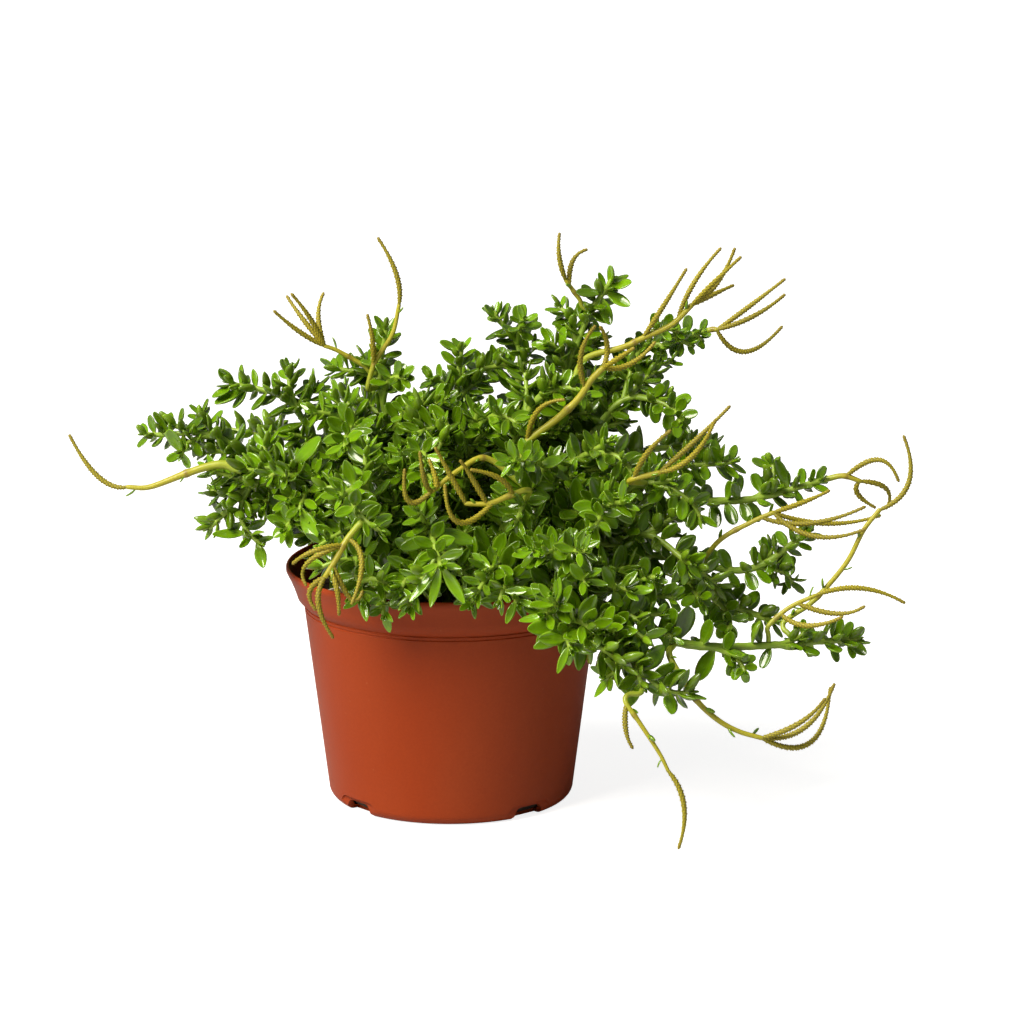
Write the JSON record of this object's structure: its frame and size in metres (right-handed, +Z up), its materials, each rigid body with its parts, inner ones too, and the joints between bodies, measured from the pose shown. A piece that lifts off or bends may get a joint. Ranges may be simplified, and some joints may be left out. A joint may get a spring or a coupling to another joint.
{
  "type": "potted plant",
  "caption": "Tapered nursery pot with a flared rim band, filled with soil, holding a bushy trailing peperomia with whorled boat-shaped leaves and slender upright flower spikes.",
  "frame": {"origin": "centre of the pot's flat base", "axes": "+Z up, +X to the right of the pictured view, -Y towards its viewer"},
  "size_m": [0.3793, 0.2329, 0.2632],
  "materials": {
    "terracotta_plastic": "matte",
    "peat": "matte",
    "leaf_green": "satin",
    "flower_yellow": "matte"
  },
  "bodies": {
    "root": {"pot": "terracotta_plastic", "soil": "peat", "spray_far_left": "flower_yellow", "spray_front_left_tassel": "flower_yellow", "spray_front_middle": "flower_yellow", "spray_middle_low": "flower_yellow", "spray_middle_thick": "flower_yellow", "spray_outer_pair": "flower_yellow", "spray_right_fan": "flower_yellow", "spray_right_hanging": "flower_yellow", "spray_right_low": "flower_yellow", "spray_right_middle": "flower_yellow", "spray_right_sweep": "flower_yellow", "spray_right_tip": "flower_yellow", "spray_rim_drooping": "flower_yellow", "spray_tall_left": "flower_yellow", "spray_top": "flower_yellow", "spray_top_comb": "flower_yellow", "spray_upper_left": "flower_yellow", "stem_back_hill": "leaf_green", "stem_back_hill_left": "leaf_green", "stem_back_hill_right": "leaf_green", "stem_back_left": "leaf_green", "stem_back_left_low": "leaf_green", "stem_back_low_left": "leaf_green", "stem_back_low_right": "leaf_green", "stem_back_right": "leaf_green", "stem_back_right_low": "leaf_green", "stem_far_left": "leaf_green", "stem_front_left": "leaf_green", "stem_front_left_low": "leaf_green", "stem_front_middle": "leaf_green", "stem_front_middle_low": "leaf_green", "stem_front_star": "leaf_green", "stem_left_flowering": "leaf_green", "stem_left_high": "leaf_green", "stem_left_low": "leaf_green", "stem_lower_right": "leaf_green", "stem_middle_left": "leaf_green", "stem_middle_right": "leaf_green", "stem_middle_star": "leaf_green", "stem_middle_top": "leaf_green", "stem_outer_right": "leaf_green", "stem_ridge": "leaf_green", "stem_right_fork": "leaf_green", "stem_right_inner": "leaf_green", "stem_right_long": "leaf_green", "stem_right_trailing": "leaf_green", "stem_right_under": "leaf_green", "stem_right_upper": "leaf_green", "stem_rim_hanging": "leaf_green", "stem_rim_low": "leaf_green", "stem_top_cross": "leaf_green", "stem_top_high": "leaf_green", "stem_top_mid": "leaf_green", "stem_top_right": "leaf_green", "stem_top_star": "leaf_green", "stem_upleft_mid": "leaf_green", "stem_upleft_tall": "leaf_green"}
  },
  "joints": []
}
